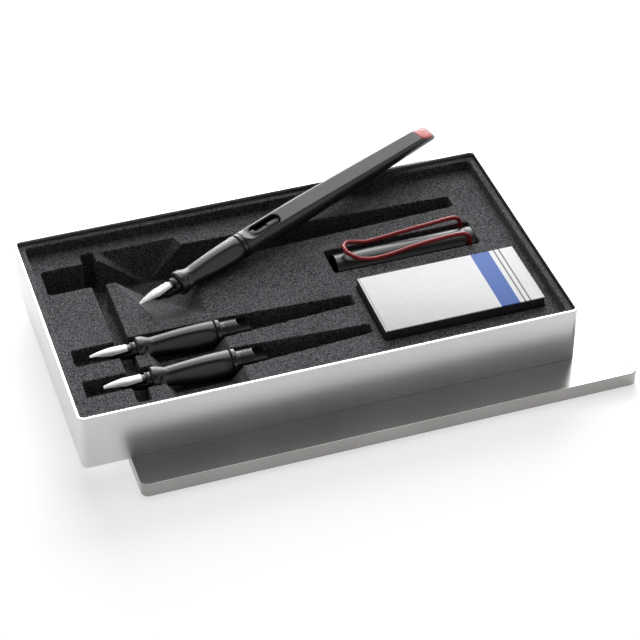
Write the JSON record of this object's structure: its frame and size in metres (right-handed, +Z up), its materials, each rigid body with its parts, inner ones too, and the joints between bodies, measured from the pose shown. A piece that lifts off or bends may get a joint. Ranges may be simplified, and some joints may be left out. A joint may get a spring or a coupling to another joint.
{
  "type": "calligraphy set box",
  "caption": "Shallow metal tin with a lift-off lid and a moulded tray that holds a broad-nib pen, spare nib sections, a clip cap and a carton of ink cartridges.",
  "frame": {"origin": "middle of the set's bounding box at rest, on the surface that it stands on", "axes": "+X along the long side of the tin, +Y from its front to its back, +Z up"},
  "size_m": [0.2534, 0.1629, 0.0466],
  "materials": {
    "tinplate": "satin brushed tinplate with a bright rolled rim",
    "flocking": "formed sheet with short dark flock",
    "grip_plastic": "fine satin moulded",
    "barrel_plastic": "satin moulded",
    "feed_plastic": "moulded",
    "nib_steel": "polished and lightly brushed",
    "ring_plastic": "moulded",
    "plug_red": "moulded",
    "cartridge_blue": "moulded, ink inside",
    "cap_plastic": "satin moulded",
    "crown_plastic": "moulded",
    "clip_red": "glossy coated spring wire",
    "board_grey": "coated paperboard",
    "board_white": "coated paperboard, printed"
  },
  "bodies": {
    "lid": {"lid_shell": "tinplate"},
    "box": {"box_shell": "tinplate", "tray_insert": "flocking"},
    "pen_section": {"pen_grip": "grip_plastic", "pen_feed": "feed_plastic", "pen_nib": "nib_steel"},
    "pen_cartridge": {"pen_cartridge": "cartridge_blue"},
    "pen_ring": {"pen_trim_ring": "ring_plastic"},
    "pen_barrel": {"pen_barrel": "barrel_plastic", "pen_end_plug": "plug_red"},
    "section_a": {"section_a_grip": "grip_plastic", "section_a_feed": "feed_plastic", "section_a_nib": "nib_steel", "section_a_trim_ring": "ring_plastic"},
    "section_b": {"section_b_grip": "grip_plastic", "section_b_feed": "feed_plastic", "section_b_nib": "nib_steel", "section_b_trim_ring": "ring_plastic"},
    "cap": {"cap_tube": "cap_plastic", "cap_sleeve": "crown_plastic", "cap_crown": "crown_plastic"},
    "clip": {"cap_clip": "clip_red"},
    "carton": {"carton_base": "board_grey", "spare_cartridges": "cartridge_blue"},
    "carton_top": {"carton_top": "board_white"}
  },
  "joints": [
    {"name": "box_lift", "type": "slide", "parent": "lid", "child": "box", "axis": [0, 0, 1], "range_m": [0, 0.05]},
    {"name": "pen_lift", "type": "slide", "parent": "box", "child": "pen_section", "axis": [0, 0, 1], "range_m": [0, 0.04]},
    {"name": "barrel_turn", "type": "hinge", "parent": "pen_section", "child": "pen_ring", "pos_m": [-0.02853, 0.02982, 0.03511], "axis": [0.9171, 0.3931, 0.0671], "range_deg": [0, 1800]},
    {"name": "barrel_travel", "type": "slide", "parent": "pen_ring", "child": "pen_barrel", "axis": [0.9171, 0.3931, 0.0671], "range_m": [0, 0.00525]},
    {"name": "cartridge_pull", "type": "slide", "parent": "pen_section", "child": "pen_cartridge", "axis": [0.9171, 0.3931, 0.0671], "range_m": [0, 0.008]},
    {"name": "section_a_lift", "type": "slide", "parent": "box", "child": "section_a", "axis": [0, 0, 1], "range_m": [0, 0.03]},
    {"name": "section_b_lift", "type": "slide", "parent": "box", "child": "section_b", "axis": [0, 0, 1], "range_m": [0, 0.03]},
    {"name": "cap_lift", "type": "slide", "parent": "box", "child": "cap", "axis": [0, 0, 1], "range_m": [0, 0.03]},
    {"name": "clip_flex", "type": "hinge", "parent": "cap", "child": "clip", "pos_m": [0.07865, 0.01408, 0.02385], "axis": [0, 1, 0], "range_deg": [0, 5], "stiffness_Nm_per_rad": 1.2},
    {"name": "carton_lift", "type": "slide", "parent": "box", "child": "carton", "axis": [0, 0, 1], "range_m": [0, 0.03]},
    {"name": "carton_open", "type": "hinge", "parent": "carton", "child": "carton_top", "pos_m": [0.05545, -0.00702, 0.03235], "axis": [-1, 0, 0], "range_deg": [0, 100]}
  ],
  "couplings": [
    {"joint": "barrel_travel", "follows": "barrel_turn", "m_per_rad": 0.00016711}
  ]
}
